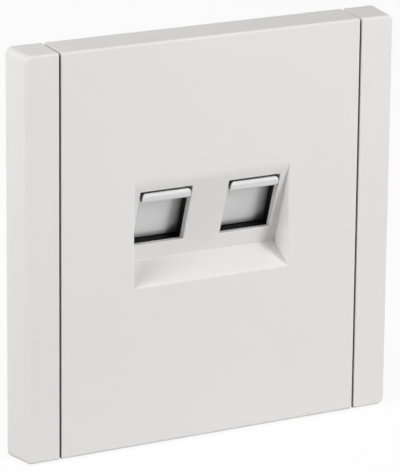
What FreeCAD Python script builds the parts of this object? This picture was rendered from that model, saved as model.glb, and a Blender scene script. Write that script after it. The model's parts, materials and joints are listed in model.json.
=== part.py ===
import FreeCAD, Part
import math
import os
from FreeCAD import Placement, Rotation, Vector

os.makedirs("parts", exist_ok=True)

# A two-port keystone faceplate for a square single-gang wall box, in millimetres.
# +Z is up, +Y goes into the wall, and the wall's face is the plane y = 0.
# The origin is midway between the two fixing slots.

# Outline of the whole plate
plate_width = 86.0
plate_height = 86.0
plate_depth = 8.0
side_draft = 0.5
corner_radius = 1.3
front_edge_radius = 0.5

# Side trims and the shadow gap that parts them from the centre cover
trim_width = 8.0
shadow_gap = 0.45
gap_edge_radius = 0.25
shell_wall = 1.6
inner_wall = 1.4
wall_clearance = 0.2

# Recess with the slanted port panel
recess_top = 13.2
recess_bottom = -8.4
panel_slope = 18.0
panel_length = 18.6
panel_wall = 1.4
panel_margin = 1.85
top_blend_radius = 5.0
lip_radius = 0.45

# Port apertures in the panel, measured down the slope from the recess's top edge
aperture_width = 12.0
aperture_height = 12.9
aperture_drop = 1.85
aperture_edge_radius = 0.2

# Sliding shutters with a finger bar
finger_bar_height = 2.25
finger_bar_proud = 0.4
finger_bar_thickness = 0.9
finger_bar_gap = 0.45
finger_bar_side_gap = 0.35
finger_bar_corner = 0.9
finger_bar_flat = 0.1
finger_web_height = 0.9
shutter_thickness = 1.2
shutter_edge_lap = 1.0
shutter_bottom_lap = 0.55
shutter_face_depth = 3.5
wing_height = 4.4
slide_clearance = 0.2
stop_clearance = 0.15

# Shutter guide and its retainer, one behind the other along the slope
assembly_gap = 0.1
guide_front_wall = 1.8
guide_side_wall = 1.1
guide_end_wall = 1.0
septum = 1.5
guide_window_margin = 0.2
retainer_thickness = 1.2

# Return springs, standing in a channel between the two ports
spring_diameter = 2.2
spring_wire = 0.3
spring_turns = 8
spring_chords = 12
spring_flats = 8
spring_length = 15.0
spring_clearance = 0.175
spigot_radius = 0.55
spigot_length = 1.2

# Snap hooks on the centre cover that hold the guide and retainer
cassette_hook_thickness = 1.1
cassette_hook_width = 3.6
cassette_hook_catch = 0.7
cassette_hook_tip = 1.0
cassette_hook_upper_drop = 6.0
cassette_hook_lower_drop = 23.0

# Keystone jack holder
keystone_width = 14.8
keystone_height = 16.4
holder_gap = 0.25
holder_face = 1.6
collar_wall = 1.2
collar_depth = 7.7
collar_side_room = 0.15
collar_top_room = 1.8
collar_bottom_room = 1.4
catch_height = 1.2
catch_depth = 1.6
cheek_thickness = 1.2
cheek_clearance = 0.4
flange_width = 3.0
flange_thickness = 1.2
flange_top = 13.0
flange_bottom = -8.0
holder_nub = 0.8
holder_nub_width = 5.0
holder_nub_upper = 9.0
holder_nub_lower = -4.0

# Mounting frame
frame_thickness = 2.0
frame_stand_off = 1.6
frame_clearance = 0.3
frame_corner_radius = 2.5
frame_rim = 1.2
opening_top = 22.4
opening_bottom = -17.6
opening_clearance = 0.3
opening_corner_radius = 1.5
rib_thickness = 1.2
rib_row = 31.0

# Fixing slots for the wall-box screws
fixing_pitch = 60.3
fixing_slot_width = 4.2
fixing_slot_length = 8.4
fixing_boss_margin = 1.8

# Snap hooks that hold the cover and the trims on the frame
cover_clip_width = 5.0
trim_clip_width = 2.6
clip_thickness = 1.2
clip_catch = 0.7
clip_tip = 1.2
clip_clearance = 0.3
cover_clip_offset = 13.0
trim_clip_inner = 9.0
trim_clip_outer = 26.0

# Stiffening ribs behind the cover's front
cover_rib_thickness = 0.8
cover_rib_height = 1.0
cover_rib_inset = 7.0

# Values worked out from the sizes above
half_width = plate_width / 2
half_height = plate_height / 2
cover_half = half_width - trim_width - shadow_gap
trim_inner = half_width - trim_width
shell_inside = -plate_depth + shell_wall
skirt_inside = half_height - side_draft - shell_wall
trim_inside = half_width - side_draft - shell_wall
frame_front = -frame_stand_off - frame_thickness
frame_back = -frame_stand_off
frame_half_width = trim_inside - frame_clearance
frame_half_height = skirt_inside - frame_clearance
trim_clip_x = frame_half_width - frame_rim - clip_clearance - trim_clip_width / 2
clip_slot_half = (clip_thickness + clip_catch + 2 * clip_clearance) / 2
trim_clip_heights = (-trim_clip_outer, -trim_clip_inner, trim_clip_inner, trim_clip_outer)
slope = math.radians(panel_slope)

shutter_half = aperture_width / 2 + shutter_edge_lap
port_pitch = 2 * shutter_half + septum + 2 * (spring_diameter + 2 * spring_clearance)
port_centres = (-port_pitch / 2, port_pitch / 2)
recess_half = (port_pitch + aperture_width) / 2 + panel_margin
aperture_bottom = aperture_drop + aperture_height
bar_top = aperture_drop + finger_bar_gap
bar_bottom = bar_top + finger_bar_height
bar_round = min(finger_bar_height / 2, finger_bar_thickness) - finger_bar_flat
shutter_travel = aperture_bottom - bar_bottom - stop_clearance

shutter_back = shutter_face_depth + shutter_thickness
channel_front = shutter_face_depth - slide_clearance
channel_back = shutter_back + slide_clearance
guide_front = channel_front - guide_front_wall
retainer_back = channel_back + retainer_thickness
shutter_top = bar_top - finger_bar_gap / 3
shutter_bottom = aperture_bottom + shutter_bottom_lap
channel_top = shutter_top - stop_clearance
channel_bottom = shutter_bottom + shutter_travel + stop_clearance
guide_top = channel_top - guide_end_wall
guide_bottom = channel_bottom + guide_end_wall
channel_outer = port_pitch / 2 + shutter_half + slide_clearance
guide_half = channel_outer + guide_side_wall

wing_inner = septum / 2 + slide_clearance
wing_bottom = shutter_top + wing_height
spring_x = septum / 2 + spring_clearance + spring_diameter / 2
spring_d = (shutter_face_depth + shutter_back) / 2
spring_top = wing_bottom + spring_clearance / 3
spring_seat = spring_top + spring_length + spring_clearance / 3
spring_channel_outer = spring_x + spring_diameter / 2 + spring_clearance
spring_room = spring_diameter / 2 + spring_clearance
spring_seat_outer = spring_channel_outer - slide_clearance

hook_inner = guide_half + slide_clearance
hook_outer = hook_inner + cassette_hook_thickness
holder_front = retainer_back + cassette_hook_tip + holder_gap
holder_plate_back = holder_front + holder_face
holder_back = holder_plate_back + collar_depth
keystone_top = aperture_drop + (aperture_height - keystone_height) / 2
keystone_bottom = keystone_top + keystone_height
collar_half = keystone_width / 2 + collar_side_room
collar_top = keystone_top - collar_top_room
collar_bottom = keystone_bottom + collar_bottom_room
cheek_inner = max(hook_outer, recess_half + panel_wall) + cheek_clearance
cheek_outer = cheek_inner + cheek_thickness
opening_half = cheek_outer + opening_clearance

TINY = 0.001


def box(x0, x1, y0, y1, z0, z1):
    """A block between two corners."""
    return Part.makeBox(x1 - x0, y1 - y0, z1 - z0, Vector(x0, y0, z0))


def fused(shapes):
    """One solid from several, with no seams left on flat faces."""
    return shapes[0].multiFuse(shapes[1:]).removeSplitter()


def prism_x(points, x0, x1):
    """A profile of (y, z) points, extruded from x0 to x1."""
    wire = Part.makePolygon([Vector(x0, y, z) for y, z in points + points[:1]])
    return Part.Face(wire).extrude(Vector(x1 - x0, 0, 0))


def rounded_wire(half_x, half_z, radius, y):
    """A rectangle with round corners in the plane at y."""
    corners = []
    for sign_x, sign_z, start in ((1, 1, 0), (-1, 1, 90), (-1, -1, 180), (1, -1, 270)):
        centre = Vector(sign_x * (half_x - radius), y, sign_z * (half_z - radius))
        angles = [math.radians(start + step) for step in (0, 45, 90)]
        corners.append([centre + Vector(math.cos(a), 0, math.sin(a)) * radius for a in angles])
    edges = []
    for index, corner in enumerate(corners):
        following = corners[(index + 1) % 4]
        edges.append(Part.Arc(*corner).toShape())
        edges.append(Part.makeLine(corner[2], following[0]))
    return Part.Wire(edges)


def rounded_block(x0, x1, y0, y1, z0, z1, radius):
    """A block whose four edges along Y are round."""
    wire = rounded_wire((x1 - x0) / 2, (z1 - z0) / 2, radius, y0)
    face = Part.Face(wire)
    face.translate(Vector((x0 + x1) / 2, 0, (z0 + z1) / 2))
    return face.extrude(Vector(0, y1 - y0, 0))


def on_slope(shape):
    """Place a shape on the slanted panel.

    Shapes for the slope are made with y as the depth behind the panel's face
    and z as the height above the recess's top edge.
    """
    tilt = Rotation(Vector(1, 0, 0), panel_slope)
    shape.Placement = Placement(Vector(0, -plate_depth, recess_top), tilt).multiply(shape.Placement)
    return shape


def slope_box(x0, x1, depth0, depth1, drop0, drop1):
    """A block on the slope, between two depths and two drops below the top edge."""
    return box(x0, x1, depth0, depth1, -drop1, -drop0)


def slope_point(drop, depth):
    """The (y, z) of a point on the slope."""
    y = -plate_depth + drop * math.sin(slope) + depth * math.cos(slope)
    z = recess_top - drop * math.cos(slope) + depth * math.sin(slope)
    return y, z


def mirrored(shape):
    """The same shape on the other side of the centre line."""
    return shape.mirror(Vector(0, 0, 0), Vector(1, 0, 0))


def plate_envelope():
    """The whole plate as one drafted block with round corners and a round front edge."""
    front_x = half_width - side_draft
    front_z = half_height - side_draft
    block = Part.makeWedge(
        -front_x, -plate_depth, -front_z, -half_height, -half_width,
        front_x, 0, front_z, half_height, half_width,
    )
    corners = [e for e in block.Edges if abs(e.Vertexes[0].Y - e.Vertexes[1].Y) > TINY]
    block = block.makeFillet(corner_radius, corners)
    front_edges = [e for e in block.Edges if all(abs(v.Y + plate_depth) < TINY for v in e.Vertexes)]
    return block.makeFillet(front_edge_radius, front_edges)


def soften_gap_edges(block, x):
    """Round the edges of a block where it meets the shadow gap at x."""
    edges = [
        e for e in block.Edges
        if all(abs(v.X - x) < TINY for v in e.Vertexes) and any(v.Y < -TINY for v in e.Vertexes)
    ]
    return block.makeFillet(gap_edge_radius, edges)


def clip(x, z, side, width):
    """A snap hook that reaches through the frame and catches behind it.

    z is the edge that it catches, and side is +1 where the barb points up and
    -1 where it points down.
    """
    face = z - side * clip_clearance
    root = face - side * clip_thickness
    reach = clip_clearance + clip_catch
    profile = [
        (shell_inside - TINY, root),
        (frame_back + clip_clearance / 2 + clip_tip, root),
        (frame_back + clip_clearance / 2 + clip_tip, face),
        (frame_back + clip_clearance / 2, face + side * reach),
        (frame_back + clip_clearance / 2, face),
        (shell_inside - TINY, face),
    ]
    return prism_x(profile, x - width / 2, x + width / 2)


def recess_profile():
    """The recess's section: flush at the top, slanting back, then a shelf out to the lip."""
    corner = Vector(0, *slope_point(panel_length, 0))
    bottom = Vector(0, -plate_depth, recess_bottom)
    shelf = (bottom - corner).normalize()
    down = Vector(0, math.sin(slope), -math.cos(slope))

    blend = top_blend_radius * math.tan(slope / 2)
    top_start = Vector(0, -plate_depth, recess_top + blend)
    top_end = Vector(0, -plate_depth, recess_top) + down * blend
    top_centre = Vector(0, -plate_depth + top_blend_radius, recess_top + blend)
    top_turn = slope / 2
    top_middle = top_centre + Vector(0, -math.cos(top_turn), -math.sin(top_turn)) * top_blend_radius

    lip_turn = math.acos(shelf.dot(Vector(0, 0, -1)))
    lip = lip_radius * math.tan(lip_turn / 2)
    lip_start = bottom - shelf * lip
    lip_end = bottom + Vector(0, 0, -lip)
    lip_centre = Vector(0, -plate_depth + lip_radius, recess_bottom - lip)
    lip_middle = lip_centre + Vector(0, -math.cos(lip_turn / 2), math.sin(lip_turn / 2)) * lip_radius

    ahead = Vector(0, -1, 0)
    edges = [
        Part.Arc(top_start, top_middle, top_end).toShape(),
        Part.makeLine(top_end, corner),
        Part.makeLine(corner, lip_start),
        Part.Arc(lip_start, lip_middle, lip_end).toShape(),
        Part.makeLine(lip_end, lip_end + ahead),
        Part.makeLine(lip_end + ahead, top_start + ahead),
        Part.makeLine(top_start + ahead, top_start),
    ]
    return Part.Wire(edges)


def recess_tool():
    """The space of the recess, to be cut from the cover."""
    face = Part.Face(recess_profile())
    face.translate(Vector(-recess_half, 0, 0))
    return face.extrude(Vector(2 * recess_half, 0, 0))


def recess_walls():
    """The panel, shelf and side walls round the recess, before it is cut."""
    corner = Vector(0, *slope_point(panel_length, 0))
    top = Vector(0, -plate_depth, recess_top)
    bottom = Vector(0, -plate_depth, recess_bottom)
    triangle = Part.Face(Part.makePolygon([top, corner, bottom, top]))
    outer = triangle.makeOffset2D(panel_wall, 2)
    outer.translate(Vector(-recess_half - panel_wall, 0, 0))
    walls = outer.extrude(Vector(2 * (recess_half + panel_wall), 0, 0))
    return walls.common(box(-half_width, half_width, -plate_depth, 0, -half_height, half_height))


def apertures():
    """The two port apertures, cut straight back as the mould's cores do."""
    top = slope_point(aperture_drop, 0)[1]
    bottom = slope_point(aperture_bottom, 0)[1]
    half = aperture_width / 2
    return [box(x - half, x + half, -plate_depth, plate_depth, bottom, top) for x in port_centres]


def aperture_edges(body):
    """The edges where the apertures break through the panel's front."""
    outward = Vector(0, math.cos(slope), math.sin(slope))
    top = Vector(0, -plate_depth, recess_top)
    reach = max(port_centres) + aperture_width / 2 + TINY
    found = []
    for edge in body.Edges:
        spots = [v.Point for v in edge.Vertexes]
        on_panel = all(abs((spot - top).dot(outward)) < TINY for spot in spots)
        low = slope_point(aperture_bottom, 0)[1] - TINY
        high = slope_point(aperture_drop, 0)[1] + TINY
        if on_panel and all(abs(spot.x) < reach and low < spot.z < high for spot in spots):
            found.append(edge)
    return found


def cassette_hook(drop):
    """A snap hook beside the guide, with its barb on the retainer's back."""
    tip = retainer_back + cassette_hook_tip
    z_seat = slope_point(drop, retainer_back)[1]
    half = cassette_hook_width / 2
    beam_end = slope_point(drop + 2 * half, tip)[0]
    beam = box(hook_inner, hook_outer, shell_inside - TINY, beam_end, z_seat - half, z_seat + half)
    beyond = slope_box(hook_inner, hook_outer, tip, half_width, drop - half_height, drop + half_height)
    beam = beam.cut(on_slope(beyond))
    catch = guide_half - cassette_hook_catch
    seat = retainer_back + assembly_gap / 2
    barb = Part.makePolygon([
        Vector(hook_inner + TINY, seat, 0),
        Vector(catch, seat, 0),
        Vector(hook_inner + TINY, tip, 0),
        Vector(hook_inner + TINY, seat, 0),
    ])
    lean = cassette_hook_tip * math.tan(slope)
    barb = Part.Face(barb).extrude(Vector(0, 0, cassette_hook_width - 2 * lean))
    barb.translate(Vector(0, 0, -drop - half + lean))
    return beam.fuse(on_slope(barb))


def cover_ribs():
    """Two upright ribs and two level ones, clear of the recess and the frame."""
    across = cover_half - cover_rib_inset
    up = skirt_inside - cover_rib_inset
    half = cover_rib_thickness / 2
    back = shell_inside + cover_rib_height
    front = shell_inside - TINY
    reach = cover_half - inner_wall
    ribs = []
    for x in (-across, across):
        ribs.append(box(x - half, x + half, front, back, -skirt_inside, skirt_inside))
    for z in (-up, up):
        ribs.append(box(-reach, reach, front, back, z - half, z + half))
    return ribs


def centre_cover(envelope):
    """The moulded centre cover, with its recess, apertures and snap hooks."""
    block = envelope.common(box(-cover_half, cover_half, -plate_depth, 0, -half_height, half_height))
    block = soften_gap_edges(soften_gap_edges(block, cover_half), -cover_half)
    inside = cover_half - inner_wall
    hollow = box(-inside, inside, shell_inside, plate_depth, -skirt_inside, skirt_inside)
    above_frame = box(-half_width, half_width, frame_front - clip_clearance, 0, -skirt_inside, skirt_inside)
    shell = block.cut(hollow).cut(above_frame)
    hooks = [cassette_hook(drop) for drop in (cassette_hook_upper_drop, cassette_hook_lower_drop)]
    hooks += [mirrored(hook) for hook in hooks]
    clips = []
    for x in (-cover_clip_offset, cover_clip_offset):
        clips.append(clip(x, opening_top, 1, cover_clip_width))
        clips.append(clip(x, opening_bottom, -1, cover_clip_width))
    body = fused([shell, recess_walls()] + cover_ribs() + hooks + clips)
    body = body.cut(recess_tool())
    for aperture in apertures():
        body = body.cut(aperture)
    body = body.makeFillet(aperture_edge_radius, aperture_edges(body))
    for low, high in ((skirt_inside, half_height), (-half_height, -skirt_inside)):
        body = body.cut(box(-half_width, half_width, -wall_clearance, plate_depth, low, high))
    return body


def side_trim(envelope):
    """The right-hand trim: a shallow channel with snap hooks along its middle."""
    side = box(trim_inner, half_width, -plate_depth, -wall_clearance, -half_height, half_height)
    block = envelope.common(side)
    block = soften_gap_edges(block, trim_inner)
    hollow = box(
        trim_inner + inner_wall, trim_inside, shell_inside, plate_depth, -skirt_inside, skirt_inside
    )
    above_frame = box(
        trim_inner - shadow_gap, trim_inside, frame_front - clip_clearance, plate_depth,
        -skirt_inside, skirt_inside,
    )
    shell = block.cut(hollow).cut(above_frame)
    clips = [clip(trim_clip_x, z + clip_slot_half, 1, trim_clip_width) for z in trim_clip_heights]
    return fused([shell] + clips)


def fixing_slot(x, grow, y0, y1):
    """A round-ended slot along X, or the boss round it when grow is above zero."""
    radius = fixing_slot_width / 2 + grow
    half = fixing_slot_length / 2 + grow
    return rounded_block(x - half, x + half, y0, y1, -radius, radius, radius - TINY)


def mounting_frame():
    """The hidden frame: a plate on a rim, with the fixing slots and the clip slots."""
    plate = rounded_block(
        -frame_half_width, frame_half_width, frame_front, 0,
        -frame_half_height, frame_half_height, frame_corner_radius,
    )
    inside_x = frame_half_width - frame_rim
    inside_z = frame_half_height - frame_rim
    plate = plate.cut(box(-inside_x, inside_x, frame_back, plate_depth, -inside_z, inside_z))
    added = []
    half_rib = rib_thickness / 2
    for z in (-rib_row, rib_row):
        added.append(box(-inside_x, inside_x, frame_back - TINY, 0, z - half_rib, z + half_rib))
    for x in (-fixing_pitch / 2, fixing_pitch / 2):
        added.append(fixing_slot(x, fixing_boss_margin, frame_back - TINY, 0))
        added.append(box(x - half_rib, x + half_rib, frame_back - TINY, 0, -rib_row, rib_row))
    plate = fused([plate] + added)
    opening = rounded_block(
        -opening_half, opening_half, -plate_depth, plate_depth,
        opening_bottom, opening_top, opening_corner_radius,
    )
    plate = plate.cut(opening)
    for side in (-1, 1):
        plate = plate.cut(fixing_slot(side * fixing_pitch / 2, 0, -plate_depth, plate_depth))
        x = side * trim_clip_x
        half = trim_clip_width / 2 + clip_clearance
        for z in trim_clip_heights:
            low = z - clip_slot_half
            high = z + clip_slot_half
            plate = plate.cut(box(x - half, x + half, -plate_depth, plate_depth, low, high))
    return plate


def shutter_guide():
    """The black tray behind the panel, in which both shutters slide."""
    tray = slope_box(-guide_half, guide_half, guide_front, channel_back, guide_top, guide_bottom)
    for side in (-1, 1):
        near, far = sorted((side * septum / 2, side * channel_outer))
        channel = slope_box(near, far, channel_front, channel_back, channel_top, channel_bottom)
        near, far = sorted((side * septum / 2, side * spring_seat_outer))
        seat = slope_box(near, far, channel_front, channel_back, spring_seat, channel_bottom)
        near, far = sorted((side * septum / 2, side * spring_channel_outer))
        groove = slope_box(near, far, spring_d - spring_room, channel_front, spring_top, spring_seat)
        tray = tray.cut(channel.cut(seat)).cut(groove)
        foot = Vector(side * spring_x, spring_d, -spring_seat - TINY)
        tray = tray.fuse(Part.makeCylinder(spigot_radius, spigot_length, foot))
    margin = guide_window_margin
    for x in port_centres:
        half = aperture_width / 2 + margin
        top = aperture_drop + finger_bar_gap + margin
        bottom = aperture_bottom + guide_front * math.tan(slope) + margin
        tray = tray.cut(slope_box(x - half, x + half, 0, channel_front, top, bottom))
    tray = on_slope(tray.removeSplitter())
    front_zone = box(
        -half_width, half_width, -2 * plate_depth, shell_inside + assembly_gap, -half_height, half_height
    )
    return tray.cut(front_zone)


def shutter_retainer():
    """The plate that closes the guide, with a way through for each plug."""
    plate = slope_box(-guide_half, guide_half, channel_back, retainer_back, guide_top, guide_bottom)
    margin = 2 * guide_window_margin
    for x in port_centres:
        half = aperture_width / 2 + margin
        top = aperture_drop + margin
        bottom = aperture_bottom + margin
        plate = plate.cut(slope_box(x - half, x + half, channel_back, retainer_back, top, bottom))
    for side in (-1, 1):
        near, far = sorted((side * septum / 2, side * spring_channel_outer))
        plate = plate.cut(slope_box(
            near, far, channel_back, spring_d + spring_room, spring_top, spring_seat
        ))
    return on_slope(plate)


def finger_bar(x):
    """The half-round bar that a fingertip pulls, and the web that joins it to the shutter."""
    half = aperture_width / 2 - finger_bar_side_gap
    root = finger_bar_thickness - finger_bar_proud
    bar = box(x - half, x + half, -finger_bar_proud, root, -bar_bottom, -bar_top)
    front = [
        e for e in bar.Edges
        if all(abs(v.Y + finger_bar_proud) < TINY for v in e.Vertexes) and e.BoundBox.XLength > TINY
    ]
    bar = bar.makeFillet(bar_round, front)
    outline = rounded_block(
        x - half, x + half, -finger_bar_proud, root, -bar_bottom, -bar_top, finger_bar_corner
    )
    web = slope_box(
        x - half + finger_bar_corner, x + half - finger_bar_corner,
        root - TINY, shutter_face_depth, bar_bottom - finger_web_height, bar_bottom,
    )
    return bar.common(outline).fuse(web)


def shutter():
    """The right-hand shutter: a plate with a finger bar and a wing that the spring pushes."""
    x = port_pitch / 2
    plate = slope_box(
        x - shutter_half, x + shutter_half, shutter_face_depth, shutter_back, shutter_top, shutter_bottom
    )
    wing = slope_box(
        wing_inner, x - shutter_half, shutter_face_depth, shutter_back, shutter_top, wing_bottom
    )
    spigot = Part.makeCylinder(
        spigot_radius, spigot_length, Vector(spring_x, spring_d, -wing_bottom - spigot_length)
    )
    return on_slope(fused([plate, wing, spigot, finger_bar(x)]))


def shutter_spring():
    """The right-hand return spring, a compression coil standing along the slope.

    Each turn is a ring of short chords and the wire has flats, which keeps its faces few.
    """
    coil_radius = (spring_diameter - spring_wire) / 2
    rise = (spring_length - spring_wire) / (spring_turns * spring_chords)
    points = []
    for step in range(spring_turns * spring_chords + 1):
        turn = 2 * math.pi * step / spring_chords
        points.append(Vector(coil_radius * math.cos(turn), coil_radius * math.sin(turn), rise * step))
    along = (points[1] - points[0]).normalize()
    across = along.cross(Vector(1, 0, 0)).normalize()
    outward = across.cross(along)
    section = []
    for step in range(spring_flats + 1):
        turn = 2 * math.pi * step / spring_flats
        section.append(points[0] + (outward * math.cos(turn) + across * math.sin(turn)) * spring_wire / 2)
    coil = Part.makePolygon(points).makePipeShell([Part.makePolygon(section)], True, False, 1)
    coil.translate(Vector(spring_x, spring_d, -spring_top - spring_length + spring_wire / 2))
    return on_slope(coil)


def keystone_socket(x):
    """One collar behind the holder's face, with the ledges that a keystone jack snaps to."""
    left = x - collar_half
    right = x + collar_half
    outer = slope_box(
        left - collar_wall, right + collar_wall, holder_front, holder_back,
        collar_top - collar_wall, collar_bottom + collar_wall,
    )
    inner = slope_box(left, right, holder_plate_back, holder_back, collar_top, collar_bottom)
    latch_front = holder_back - catch_depth
    latch = slope_box(left, right, latch_front, holder_back, collar_top, collar_top + catch_height)
    ledge_front = (holder_plate_back + holder_back) / 2
    ledge_back = ledge_front + catch_depth
    ledge = slope_box(left, right, ledge_front, ledge_back, collar_bottom - catch_height, collar_bottom)
    return outer.cut(inner).fuse(latch).fuse(ledge)


def holder_cheek():
    """The right-hand cheek, its flange on the frame's front and its snap nubs behind."""
    flange_back = frame_front - assembly_gap
    flange_front = flange_back - flange_thickness
    top = collar_top - collar_wall
    bottom = collar_bottom + collar_wall
    profile = [
        (flange_front, flange_top),
        slope_point(top, holder_front),
        slope_point(top, holder_plate_back),
        slope_point(bottom, holder_plate_back),
        (flange_back, flange_bottom),
        (flange_front, flange_bottom),
    ]
    cheek = prism_x(profile, cheek_inner, cheek_outer)
    flange = box(
        cheek_inner, cheek_outer + flange_width, flange_front, flange_back, flange_bottom, flange_top
    )
    parts = [cheek, flange]
    seat = frame_back + assembly_gap
    for z in (holder_nub_lower, holder_nub_upper):
        nub = Part.makePolygon([
            Vector(cheek_outer - TINY, seat, z),
            Vector(cheek_outer + opening_clearance + holder_nub, seat, z),
            Vector(cheek_outer - TINY, seat + 2 * holder_nub, z),
            Vector(cheek_outer - TINY, seat, z),
        ])
        parts.append(Part.Face(nub).extrude(Vector(0, 0, holder_nub_width)))
    return parts


def jack_holder():
    """The holder that takes both keystone jacks from behind, snapped into the frame."""
    top = collar_top - collar_wall
    bottom = collar_bottom + collar_wall
    face = slope_box(-cheek_outer, cheek_outer, holder_front, holder_plate_back, top, bottom)
    parts = [face] + [keystone_socket(x) for x in port_centres]
    parts = [on_slope(part) for part in parts]
    for part in holder_cheek():
        parts += [part, mirrored(part)]
    body = fused(parts)
    half = keystone_width / 2
    for x in port_centres:
        window = slope_box(
            x - half, x + half, holder_front - TINY, holder_plate_back + TINY, keystone_top, keystone_bottom
        )
        body = body.cut(on_slope(window))
    return body


def save(name, shape):
    """Write one sub-part, after making sure that it is one closed solid."""
    solids = shape.Solids
    if len(solids) != 1 or not solids[0].isValid():
        raise RuntimeError(f"{name} is {len(solids)} solids or not valid")
    solids[0].exportStep(f"parts/{name}.step")
    print(f"{name}: {solids[0].Volume:.1f} mm3")


envelope = plate_envelope()
trim = side_trim(envelope)
right_shutter = shutter()
right_spring = shutter_spring()

save("centre_cover", centre_cover(envelope))
save("side_trim_right", trim)
save("side_trim_left", mirrored(trim))
save("mounting_frame", mounting_frame())
save("shutter_guide", shutter_guide())
save("shutter_retainer", shutter_retainer())
save("shutter_right", right_shutter)
save("shutter_left", mirrored(right_shutter))
save("shutter_spring_right", right_spring)
save("shutter_spring_left", mirrored(right_spring))
save("jack_holder", jack_holder())
print(f"shutter travel: {shutter_travel:.3f} mm")
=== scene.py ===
import json
import math

import bpy
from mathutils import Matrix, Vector

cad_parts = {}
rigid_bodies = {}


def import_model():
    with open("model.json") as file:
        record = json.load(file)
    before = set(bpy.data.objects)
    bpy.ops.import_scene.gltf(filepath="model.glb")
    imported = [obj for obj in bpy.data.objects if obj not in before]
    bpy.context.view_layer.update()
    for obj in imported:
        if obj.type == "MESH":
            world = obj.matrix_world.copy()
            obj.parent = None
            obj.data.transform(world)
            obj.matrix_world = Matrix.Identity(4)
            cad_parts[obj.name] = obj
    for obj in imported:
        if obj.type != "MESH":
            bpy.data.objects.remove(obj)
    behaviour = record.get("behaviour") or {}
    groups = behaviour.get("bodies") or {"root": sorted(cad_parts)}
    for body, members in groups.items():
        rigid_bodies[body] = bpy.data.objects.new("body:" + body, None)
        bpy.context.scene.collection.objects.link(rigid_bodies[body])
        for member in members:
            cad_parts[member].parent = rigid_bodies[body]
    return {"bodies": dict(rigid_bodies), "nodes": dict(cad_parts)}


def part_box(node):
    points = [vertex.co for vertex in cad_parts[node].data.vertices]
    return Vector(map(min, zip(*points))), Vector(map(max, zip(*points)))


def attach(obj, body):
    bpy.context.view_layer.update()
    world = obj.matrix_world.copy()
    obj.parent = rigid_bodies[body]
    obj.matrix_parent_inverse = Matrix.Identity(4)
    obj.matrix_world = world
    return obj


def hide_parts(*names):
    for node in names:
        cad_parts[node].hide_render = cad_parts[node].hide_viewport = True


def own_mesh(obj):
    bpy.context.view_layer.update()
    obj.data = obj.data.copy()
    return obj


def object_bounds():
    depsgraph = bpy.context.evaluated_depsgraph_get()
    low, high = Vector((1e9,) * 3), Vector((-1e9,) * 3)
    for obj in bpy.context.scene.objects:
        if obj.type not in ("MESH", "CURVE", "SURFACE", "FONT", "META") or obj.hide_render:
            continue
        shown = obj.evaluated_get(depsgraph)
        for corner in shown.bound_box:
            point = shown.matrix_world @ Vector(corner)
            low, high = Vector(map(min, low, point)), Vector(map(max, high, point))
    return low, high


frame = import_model()
cadLow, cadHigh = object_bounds()
nodes = frame["nodes"]
middle = (cadLow + cadHigh) / 2

# whatever the file opened with, such as a start-up cube or lamp, goes
kept = set(nodes.values()) | set(frame["bodies"].values())
for stray in [thing for thing in bpy.data.objects if thing not in kept]:
    bpy.data.objects.remove(stray)
print("frame loaded:", len(nodes), "nodes")


def addNode(tree, kind, inputs=None, **settings):
    made = tree.nodes.new(kind)
    for name, value in settings.items():
        setattr(made, name, value)
    for name, value in (inputs or {}).items():
        socket = made.inputs[name]
        if isinstance(value, bpy.types.NodeSocket):
            tree.links.new(value, socket)
        else:
            socket.default_value = value
    return made


def mathNode(tree, operation, *values, clamp=False):
    given = dict(enumerate(values))
    made = addNode(tree, "ShaderNodeMath", given, operation=operation, use_clamp=clamp)
    return made.outputs[0]


def mixColours(tree, share, first, second):
    made = addNode(tree, "ShaderNodeMix", {0: share, 6: first, 7: second}, data_type="RGBA")
    return made.outputs[2]


def toLinear(colour):
    # a colour as it looks on a screen, 0 to 255, turned into shader values by the sRGB curve
    shares = [channel / 255 for channel in colour]
    linear = [s / 12.92 if s <= 0.04045 else ((s + 0.055) / 1.055) ** 2.4 for s in shares]
    return (*linear, 1.0)


def newGroup(name, inputs, outputs, kind="ShaderNodeTree"):
    tree = bpy.data.node_groups.new(name, kind)
    for side, sockets in (("INPUT", inputs), ("OUTPUT", outputs)):
        for label, (socketKind, value) in sockets.items():
            socket = tree.interface.new_socket(label, in_out=side, socket_type=socketKind)
            if value is not None:
                socket.default_value = value
    entry = tree.nodes.new("NodeGroupInput")
    leave = tree.nodes.new("NodeGroupOutput")
    return tree, entry.outputs, leave.inputs


white = (1, 1, 1, 1)

# millimetres for the lens and sensor, metres for places and clipping, degrees for the turn
cameraFacts = {
    "lens": 272.1,
    "sensor": 36,
    "clipNear": 0.05,
    "clipFar": 20,
    "place": (-0.34431, -0.62024, 0.20426),
    "turn": (73.809, -0.557, -28.988),
}

studio = {
    "floorHalf": 3.0,
    "floorSeen": (255, 255, 255),
    "floorBounce": (200, 200, 200),
    "floorGlow": 0.91,
    "skyLevel": 0.0,
}

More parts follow.
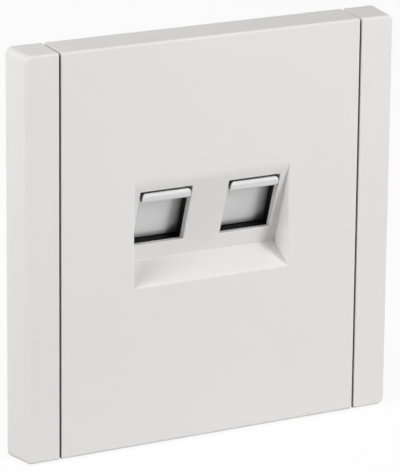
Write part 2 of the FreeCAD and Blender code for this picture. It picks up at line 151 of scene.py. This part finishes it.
# azimuth 0 is in front of the plate, 90 on its right-hand side; degrees, metres and watts
lamps = {
    "keyLamp": {
        "azimuth": 32, "elevation": 22, "distance": 1.0,
        "width": 0.35, "height": 0.9, "power": 7.05,
    },
    "rightLowLamp": {
        "azimuth": 58, "elevation": 3, "distance": 1.0,
        "width": 0.3, "height": 0.3, "power": 1.3,
    },
    "leftHighLamp": {
        "azimuth": -71, "elevation": 50, "distance": 1.0,
        "width": 0.4, "height": 0.4, "power": 3.9,
    },
    "leftMidLamp": {
        "azimuth": -74, "elevation": 28, "distance": 1.0,
        "width": 0.36, "height": 0.36, "power": 1.2,
    },
    "leftSideLamp": {
        "azimuth": -85, "elevation": 4, "distance": 1.0,
        "width": 0.36, "height": 0.36, "power": 3.3,
    },
    "topLamp": {
        "azimuth": -115, "elevation": 45, "distance": 0.2,
        "width": 0.1, "height": 0.1, "power": 0.045,
    },
    "backLeftLamp": {
        "azimuth": -176, "elevation": 3, "distance": 1.0,
        "width": 0.3, "height": 0.3, "power": 6.0,
    },
    "backRightLamp": {
        "azimuth": 112, "elevation": 4, "distance": 1.0,
        "width": 0.3, "height": 0.3, "power": 2.6,
    },
}


def makeCamera(facts):
    data = bpy.data.cameras.new("camera")
    data.lens = facts["lens"]
    data.sensor_width = facts["sensor"]
    data.clip_start = facts["clipNear"]
    data.clip_end = facts["clipFar"]
    camera = bpy.data.objects.new("camera", data)
    camera.location = facts["place"]
    camera.rotation_euler = [math.radians(angle) for angle in facts["turn"]]
    bpy.context.scene.collection.objects.link(camera)
    bpy.context.scene.camera = camera


def seenDirectly(tree):
    # 1 for what the camera sees, straight, in a gloss or through glass
    # 0 for light that falls on other things
    path = addNode(tree, "ShaderNodeLightPath").outputs
    seen = mathNode(tree, "MAXIMUM", path["Is Camera Ray"], path["Is Glossy Ray"])
    return mathNode(tree, "MAXIMUM", seen, path["Is Transmission Ray"])


def makeSky(facts):
    world = bpy.data.worlds.new("sky")
    bpy.context.scene.world = world
    world.use_nodes = True
    tree = world.node_tree
    tree.nodes.clear()
    seen = seenDirectly(tree)
    lit = addNode(tree, "ShaderNodeBackground", {"Color": white, "Strength": facts["skyLevel"]})
    shown = addNode(tree, "ShaderNodeBackground", {"Color": white, "Strength": 1.0})
    mixed = addNode(tree, "ShaderNodeMixShader", {0: seen, 1: lit.outputs[0], 2: shown.outputs[0]})
    addNode(tree, "ShaderNodeOutputWorld", {"Surface": mixed.outputs[0]})


def makeFloor(facts):
    half = facts["floorHalf"]
    mesh = bpy.data.meshes.new("floor")
    corners = [(-half, -half), (half, -half), (half, half), (-half, half)]
    mesh.from_pydata([(x, y, cadLow.z) for x, y in corners], [], [(0, 1, 2, 3)])
    floor = bpy.data.objects.new("floor", mesh)
    bpy.context.scene.collection.objects.link(floor)
    material = bpy.data.materials.new("floorPaper")
    material.use_nodes = True
    tree = material.node_tree
    tree.nodes.clear()
    seen = seenDirectly(tree)
    share = mathNode(tree, "MULTIPLY", seen, facts["floorGlow"])
    bounce, shown = toLinear(facts["floorBounce"]), toLinear(facts["floorSeen"])
    paper = addNode(tree, "ShaderNodeBsdfDiffuse", {"Color": mixColours(tree, seen, bounce, shown)})
    glow = addNode(tree, "ShaderNodeEmission", {"Color": white, "Strength": 1.0})
    shaders = {0: share, 1: paper.outputs[0], 2: glow.outputs[0]}
    mixed = addNode(tree, "ShaderNodeMixShader", shaders)
    addNode(tree, "ShaderNodeOutputMaterial", {"Surface": mixed.outputs[0]})
    mesh.materials.append(material)


def makeLamp(name, facts):
    turn, lift = math.radians(facts["azimuth"]), math.radians(facts["elevation"])
    level = math.cos(lift)
    away = Vector((math.sin(turn) * level, -math.cos(turn) * level, math.sin(lift)))
    data = bpy.data.lights.new(name, "AREA")
    data.shape = "RECTANGLE"
    data.size = facts["width"]
    data.size_y = facts["height"]
    data.energy = facts["power"]
    lamp = bpy.data.objects.new(name, data)
    lamp.location = middle + away * facts["distance"]
    lamp.rotation_euler = away.to_track_quat("Z", "Y").to_euler()
    bpy.context.scene.collection.objects.link(lamp)


bpy.context.scene.view_settings.view_transform = "Standard"
makeCamera(cameraFacts)
makeSky(studio)
makeFloor(studio)
for lampName, lampFacts in lamps.items():
    makeLamp(lampName, lampFacts)
print("camera, floor and", len(lamps), "lamps made")


grainFacts = {"fineDetail": 3.0, "fineRoughness": 0.6, "slowDetail": 2.0, "slowRoughness": 0.5}


def makeGrain():
    # the fine texture that a spark-finished mould leaves, and a slow unevenness over the whole part
    tree, given, result = newGroup(
        "mouldGrain",
        {"Grain Size": ("NodeSocketFloat", 0.0003), "Patch Size": ("NodeSocketFloat", 0.02)},
        {"Height": ("NodeSocketFloat", None), "Patch": ("NodeSocketFloat", None)},
    )
    place = addNode(tree, "ShaderNodeTexCoord").outputs["Object"]
    fine = addNode(tree, "ShaderNodeTexNoise", {
        "Vector": place,
        "Scale": mathNode(tree, "DIVIDE", 1.0, given["Grain Size"]),
        "Detail": grainFacts["fineDetail"],
        "Roughness": grainFacts["fineRoughness"],
    })
    slow = addNode(tree, "ShaderNodeTexNoise", {
        "Vector": place,
        "Scale": mathNode(tree, "DIVIDE", 1.0, given["Patch Size"]),
        "Detail": grainFacts["slowDetail"],
        "Roughness": grainFacts["slowRoughness"],
    })
    tree.links.new(fine.outputs["Fac"], result["Height"])
    tree.links.new(slow.outputs["Fac"], result["Patch"])
    return tree


wireFacts = {"textureSize": 0.00005, "detail": 2.0}


def makeDrawnWire():
    # the very fine unevenness of wire that was pulled through a die
    tree, given, result = newGroup(
        "drawnWire",
        {"Texture Size": ("NodeSocketFloat", wireFacts["textureSize"])},
        {"Height": ("NodeSocketFloat", None)},
    )
    place = addNode(tree, "ShaderNodeTexCoord").outputs["Object"]
    texture = addNode(tree, "ShaderNodeTexNoise", {
        "Vector": place,
        "Scale": mathNode(tree, "DIVIDE", 1.0, given["Texture Size"]),
        "Detail": wireFacts["detail"],
    })
    tree.links.new(texture.outputs["Fac"], result["Height"])
    return tree


# the painted edge highlight begins where the rounded and the true normal agree less than "flat"
softEdgeFacts = {"samples": 8, "flat": 0.999, "full": 0.9}


def makeSoftEdge():
    # moulded corners are never quite sharp: the rounded normal catches real light; the mask paints
    # them a touch paler, a painted highlight
    tree, given, result = newGroup(
        "softEdge",
        {"Radius": ("NodeSocketFloat", 0.0002), "Strength": ("NodeSocketFloat", 1.0)},
        {"Normal": ("NodeSocketVector", None), "Painted Highlight": ("NodeSocketFloat", None)},
    )
    bevel = addNode(
        tree, "ShaderNodeBevel", {"Radius": given["Radius"]}, samples=softEdgeFacts["samples"]
    )
    rounded = bevel.outputs[0]
    flat = addNode(tree, "ShaderNodeNewGeometry").outputs["True Normal"]
    dot = addNode(tree, "ShaderNodeVectorMath", {0: rounded, 1: flat}, operation="DOT_PRODUCT")
    turned = addNode(tree, "ShaderNodeMapRange", {
        "Value": dot.outputs["Value"], "From Min": softEdgeFacts["flat"],
        "From Max": softEdgeFacts["full"], "To Min": 0.0, "To Max": 1.0,
    }).outputs[0]
    edge = mathNode(tree, "MULTIPLY", turned, given["Strength"], clamp=True)
    tree.links.new(rounded, result["Normal"])
    tree.links.new(edge, result["Painted Highlight"])
    return tree


paintedShadeSamples = 12


def makePaintedCreviceShade():
    # painted shade: narrow joints and the deepest corners are darkened in the colour where shade
    # falls; open faces stay as they are
    tree, given, result = newGroup(
        "paintedCreviceShade",
        {
            "Reach": ("NodeSocketFloat", 0.0015),
            "Open": ("NodeSocketFloat", 0.4),
            "Closed": ("NodeSocketFloat", 0.12),
            "Strength": ("NodeSocketFloat", 1.0),
        },
        {"Painted Shade": ("NodeSocketFloat", None)},
    )
    around = addNode(
        tree, "ShaderNodeAmbientOcclusion", {"Distance": given["Reach"]}, samples=paintedShadeSamples
    )
    deep = addNode(tree, "ShaderNodeMapRange", {
        "Value": around.outputs["AO"], "From Min": given["Open"], "From Max": given["Closed"],
        "To Min": 0.0, "To Max": 1.0,
    }).outputs[0]
    paintedShade = mathNode(tree, "MULTIPLY", deep, given["Strength"], clamp=True)
    tree.links.new(paintedShade, result["Painted Shade"])
    return tree


grainGroup = makeGrain()
edgeGroup = makeSoftEdge()
paintedShadeGroup = makePaintedCreviceShade()
wireGroup = makeDrawnWire()


# the share of unevenness at which a plastic is at its smoothest and at its roughest
plasticFacts = {"patchLow": 0.3, "patchHigh": 0.7, "ior": 1.5}

# colours from 0 to 255, sizes in metres, the rest as shares of 1
# in each plastic the edge colour is a painted highlight along its rims; the dark shade colour with
# its reach, open, closed and share values is painted shade in joints and deep corners
plastics = {
    "coverWhite": {
        "light": (232, 230, 229), "dark": (229, 227, 226), "edge": (250, 249, 248),
        "smooth": 0.54, "rough": 0.6, "grain": 0.00022, "patch": 0.03, "bump": 0.000003,
        "edgeRadius": 0.0003, "paintedHighlightShare": 0.9,
        "paintedShade": (40, 40, 42), "paintedShadeReach": 0.0015, "paintedShadeShare": 0.85,
        "paintedShadeOpen": 0.52, "paintedShadeClosed": 0.12,
        "gloss": 0.3,
    },
    "trimWhite": {
        "light": (232, 230, 229), "dark": (229, 227, 226), "edge": (250, 249, 248),
        "smooth": 0.54, "rough": 0.6, "grain": 0.00022, "patch": 0.03, "bump": 0.000003,
        "edgeRadius": 0.0003, "paintedHighlightShare": 0.9,
        "paintedShade": (40, 40, 42), "paintedShadeReach": 0.0015, "paintedShadeShare": 0.85,
        "paintedShadeOpen": 0.4, "paintedShadeClosed": 0.12,
        "gloss": 0.3,
    },
    "shutterWhite": {
        "light": (230, 230, 230), "dark": (227, 227, 227), "edge": (232, 232, 232),
        "smooth": 0.46, "rough": 0.52, "grain": 0.0002, "patch": 0.01, "bump": 0.000003,
        "edgeRadius": 0.00015, "paintedHighlightShare": 0.3,
        "paintedShade": (40, 40, 42), "paintedShadeReach": 0.003, "paintedShadeShare": 0.9,
        "paintedShadeOpen": 0.76, "paintedShadeClosed": 0.44,
        "gloss": 0.3,
    },
    "frameGrey": {
        "light": (150, 151, 152), "dark": (141, 142, 143), "edge": (164, 165, 166),
        "smooth": 0.42, "rough": 0.5, "grain": 0.0004, "patch": 0.02, "bump": 0.000008,
        "edgeRadius": 0.0002, "paintedHighlightShare": 0.7,
        "paintedShade": (8, 8, 9), "paintedShadeReach": 0.0015, "paintedShadeShare": 0.5,
        "paintedShadeOpen": 0.4, "paintedShadeClosed": 0.12,
        "gloss": 0.5,
    },
    "guideBlack": {
        "light": (9, 9, 10), "dark": (7, 7, 8), "edge": (34, 34, 35),
        "smooth": 0.5, "rough": 0.58, "grain": 0.0003, "patch": 0.01, "bump": 0.000008,
        "edgeRadius": 0.00018, "paintedHighlightShare": 0.8,
        "paintedShade": (8, 8, 9), "paintedShadeReach": 0.0015, "paintedShadeShare": 0.5,
        "paintedShadeOpen": 0.4, "paintedShadeClosed": 0.12,
        "gloss": 0.25,
    },
    "holderBlack": {
        "light": (32, 32, 33), "dark": (25, 25, 26), "edge": (58, 58, 59),
        "smooth": 0.42, "rough": 0.52, "grain": 0.0004, "patch": 0.015, "bump": 0.000008,
        "edgeRadius": 0.0002, "paintedHighlightShare": 0.8,
        "paintedShade": (8, 8, 9), "paintedShadeReach": 0.0015, "paintedShadeShare": 0.5,
        "paintedShadeOpen": 0.4, "paintedShadeClosed": 0.12,
        "gloss": 0.5,
    },
}


def makePlastic(name, facts):
    material = bpy.data.materials.new(name)
    material.use_nodes = True
    tree = material.node_tree
    shader = tree.nodes["Principled BSDF"]
    grain = addNode(tree, "ShaderNodeGroup", node_tree=grainGroup)
    grain.inputs["Grain Size"].default_value = facts["grain"]
    grain.inputs["Patch Size"].default_value = facts["patch"]
    patch = grain.outputs["Patch"]
    edge = addNode(tree, "ShaderNodeGroup", node_tree=edgeGroup)
    edge.inputs["Radius"].default_value = facts["edgeRadius"]
    edge.inputs["Strength"].default_value = facts["paintedHighlightShare"]
    plain = mixColours(tree, patch, toLinear(facts["light"]), toLinear(facts["dark"]))
    # painted highlight: the colour is mixed towards the paler edge colour along edges
    withPaintedHighlight = mixColours(tree, edge.outputs["Painted Highlight"], plain, toLinear(facts["edge"]))
    paintedShade = addNode(tree, "ShaderNodeGroup", node_tree=paintedShadeGroup)
    paintedShade.inputs["Reach"].default_value = facts["paintedShadeReach"]
    paintedShade.inputs["Open"].default_value = facts["paintedShadeOpen"]
    paintedShade.inputs["Closed"].default_value = facts["paintedShadeClosed"]
    paintedShade.inputs["Strength"].default_value = facts["paintedShadeShare"]
    # painted shade: joints and deep corners are mixed towards the dark shade colour by ambient
    # occlusion
    colour = mixColours(tree, paintedShade.outputs["Painted Shade"], withPaintedHighlight, toLinear(facts["paintedShade"]))
    roughness = addNode(tree, "ShaderNodeMapRange", {
        "Value": patch, "From Min": plasticFacts["patchLow"], "From Max": plasticFacts["patchHigh"],
        "To Min": facts["smooth"], "To Max": facts["rough"],
    })
    bump = addNode(tree, "ShaderNodeBump", {
        "Strength": 1.0, "Distance": facts["bump"], "Height": grain.outputs["Height"],
        "Normal": edge.outputs["Normal"],
    })
    tree.links.new(colour, shader.inputs["Base Color"])
    tree.links.new(roughness.outputs[0], shader.inputs["Roughness"])
    tree.links.new(bump.outputs[0], shader.inputs["Normal"])
    shader.inputs["IOR"].default_value = plasticFacts["ior"]
    shader.inputs["Specular IOR Level"].default_value = facts["gloss"]
    return material


steelFacts = {
    "light": (205, 207, 210), "dark": (176, 178, 182),
    "smooth": 0.28, "rough": 0.38, "bump": 0.000002,
}


def makeSteel(name, facts):
    material = bpy.data.materials.new(name)
    material.use_nodes = True
    tree = material.node_tree
    shader = tree.nodes["Principled BSDF"]
    height = addNode(tree, "ShaderNodeGroup", node_tree=wireGroup).outputs["Height"]
    colour = mixColours(tree, height, toLinear(facts["light"]), toLinear(facts["dark"]))
    roughness = addNode(tree, "ShaderNodeMapRange", {
        "Value": height, "To Min": facts["smooth"], "To Max": facts["rough"],
    })
    bump = addNode(tree, "ShaderNodeBump", {"Distance": facts["bump"], "Height": height})
    tree.links.new(colour, shader.inputs["Base Color"])
    tree.links.new(roughness.outputs[0], shader.inputs["Roughness"])
    tree.links.new(bump.outputs[0], shader.inputs["Normal"])
    shader.inputs["Metallic"].default_value = 1.0
    return material


finishes = {name: makePlastic(name, facts) for name, facts in plastics.items()}
finishes["springSteel"] = makeSteel("springSteel", steelFacts)

nodeFinishes = {
    "centre_cover": "coverWhite",
    "side_trim_left": "trimWhite",
    "side_trim_right": "trimWhite",
    "mounting_frame": "frameGrey",
    "shutter_guide": "guideBlack",
    "shutter_retainer": "guideBlack",
    "shutter_left": "shutterWhite",
    "shutter_right": "shutterWhite",
    "jack_holder": "holderBlack",
}
for nodeName, finishName in nodeFinishes.items():
    nodes[nodeName].data.materials.clear()
    nodes[nodeName].data.materials.append(finishes[finishName])
print("finishes made:", ", ".join(finishes))


# sizes in metres, the slope in degrees
springFacts = {
    "coilRadius": 0.00095,
    "wireRadius": 0.00015,
    "turns": 8.0,
    "length": 0.015,
    "travel": 0.01005,
    "slopeDegrees": 18.0,
    "pointsPerTurn": 24,
    "wireSides": 10,
}
springPoints = int(springFacts["turns"] * springFacts["pointsPerTurn"]) + 1


def makeSpringTree():
    # a wire that goes round and up, with its first and last turns closed
    tree, given, result = newGroup(
        "coilSpring",
        {
            "Coil Radius": ("NodeSocketFloat", springFacts["coilRadius"]),
            "Wire Radius": ("NodeSocketFloat", springFacts["wireRadius"]),
            "Turns": ("NodeSocketFloat", springFacts["turns"]),
            "Length": ("NodeSocketFloat", springFacts["length"]),
            "Points": ("NodeSocketInt", springPoints),
            "Wire Sides": ("NodeSocketInt", springFacts["wireSides"]),
            "Lean": ("NodeSocketFloat", 0.0),
            "Seat": ("NodeSocketVector", None),
            "Hand": ("NodeSocketFloat", 1.0),
            "Material": ("NodeSocketMaterial", None),
        },
        {"Geometry": ("NodeSocketGeometry", None)},
        kind="GeometryNodeTree",
    )
    line = addNode(tree, "GeometryNodeMeshLine", {"Count": given["Points"]}, mode="OFFSET")
    index = addNode(tree, "GeometryNodeInputIndex").outputs[0]
    last = mathNode(tree, "SUBTRACT", given["Points"], 1.0)
    done = mathNode(tree, "MULTIPLY", mathNode(tree, "DIVIDE", index, last), given["Turns"])
    wire = mathNode(tree, "MULTIPLY", given["Wire Radius"], 2.0)
    beforeLast = mathNode(tree, "SUBTRACT", given["Turns"], 1.0)
    # both closed turns, and half a wire at each end
    closedRise = mathNode(tree, "MULTIPLY", wire, 3.0)
    freeRise = mathNode(tree, "SUBTRACT", given["Length"], closedRise)
    firstRise = addNode(tree, "ShaderNodeMapRange", {
        "Value": done, "From Min": 0.0, "From Max": 1.0, "To Min": given["Wire Radius"],
        "To Max": mathNode(tree, "ADD", given["Wire Radius"], wire),
    }).outputs[0]
    bodyRise = addNode(tree, "ShaderNodeMapRange", {
        "Value": done, "From Min": 1.0, "From Max": beforeLast, "To Min": 0.0, "To Max": freeRise,
    }).outputs[0]
    lastRise = addNode(tree, "ShaderNodeMapRange", {
        "Value": done, "From Min": beforeLast, "From Max": given["Turns"],
        "To Min": 0.0, "To Max": wire,
    }).outputs[0]
    rise = mathNode(tree, "ADD", mathNode(tree, "ADD", firstRise, bodyRise), lastRise)
    angle = mathNode(tree, "MULTIPLY", done, 2 * math.pi)
    across = mathNode(tree, "MULTIPLY", mathNode(tree, "COSINE", angle), given["Coil Radius"])
    across = mathNode(tree, "MULTIPLY", across, given["Hand"])
    deep = mathNode(tree, "MULTIPLY", mathNode(tree, "SINE", angle), given["Coil Radius"])
    spot = addNode(tree, "ShaderNodeCombineXYZ", {"X": across, "Y": deep, "Z": rise}).outputs[0]
    turned = addNode(tree, "ShaderNodeVectorRotate", {
        "Vector": spot, "Angle": given["Lean"],
    }, rotation_type="X_AXIS").outputs[0]
    placed = addNode(tree, "ShaderNodeVectorMath", {0: turned, 1: given["Seat"]}, operation="ADD")
    moved = addNode(tree, "GeometryNodeSetPosition", {
        "Geometry": line.outputs[0], "Position": placed.outputs[0],
    })
    path = addNode(tree, "GeometryNodeMeshToCurve", {"Mesh": moved.outputs[0]})
    section = addNode(tree, "GeometryNodeCurvePrimitiveCircle", {
        "Resolution": given["Wire Sides"], "Radius": given["Wire Radius"],
    })
    tube = addNode(tree, "GeometryNodeCurveToMesh", {
        "Curve": path.outputs[0], "Profile Curve": section.outputs[0], "Fill Caps": True,
    })
    smooth = addNode(tree, "GeometryNodeSetShadeSmooth", {"Geometry": tube.outputs[0]})
    real = addNode(tree, "GeometryNodeRealizeInstances", {"Geometry": smooth.outputs[0]})
    painted = addNode(tree, "GeometryNodeSetMaterial", {
        "Geometry": real.outputs[0], "Material": given["Material"],
    })
    tree.links.new(painted.outputs[0], result["Geometry"])
    return tree


def growMesh(name, tree, values):
    # runs a geometry tree on an empty mesh and keeps what it makes as a plain mesh
    seed = bpy.data.objects.new(name + "Seed", bpy.data.meshes.new(name + "Seed"))
    bpy.context.scene.collection.objects.link(seed)
    modifier = seed.modifiers.new(name, "NODES")
    modifier.node_group = tree
    sockets = {s.name: s.identifier for s in tree.interface.items_tree if s.in_out == "INPUT"}
    for label, value in values.items():
        modifier[sockets[label]] = value
    ready = seed.evaluated_get(bpy.context.evaluated_depsgraph_get())
    mesh = bpy.data.meshes.new_from_object(ready)
    mesh.name = name
    bpy.data.objects.remove(seed)
    piece = bpy.data.objects.new(name, mesh)
    bpy.context.scene.collection.objects.link(piece)
    return piece


springTree = makeSpringTree()
lean = math.radians(springFacts["slopeDegrees"])
slopeDown = Vector((0, math.sin(lean), -math.cos(lean)))
for side in ("left", "right"):
    nodeName = "shutter_spring_" + side
    low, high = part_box(nodeName)
    centre = (low + high) / 2
    seat = centre + slopeDown * springFacts["length"] / 2
    spring = growMesh("spring_" + side, springTree, {
        "Points": springPoints,
        "Lean": lean,
        "Seat": tuple(seat),
        "Hand": 1.0 if side == "right" else -1.0,
        "Material": finishes["springSteel"],
    })
    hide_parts(nodeName)
    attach(spring, "faceplate")
    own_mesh(spring)
print("springs wound")
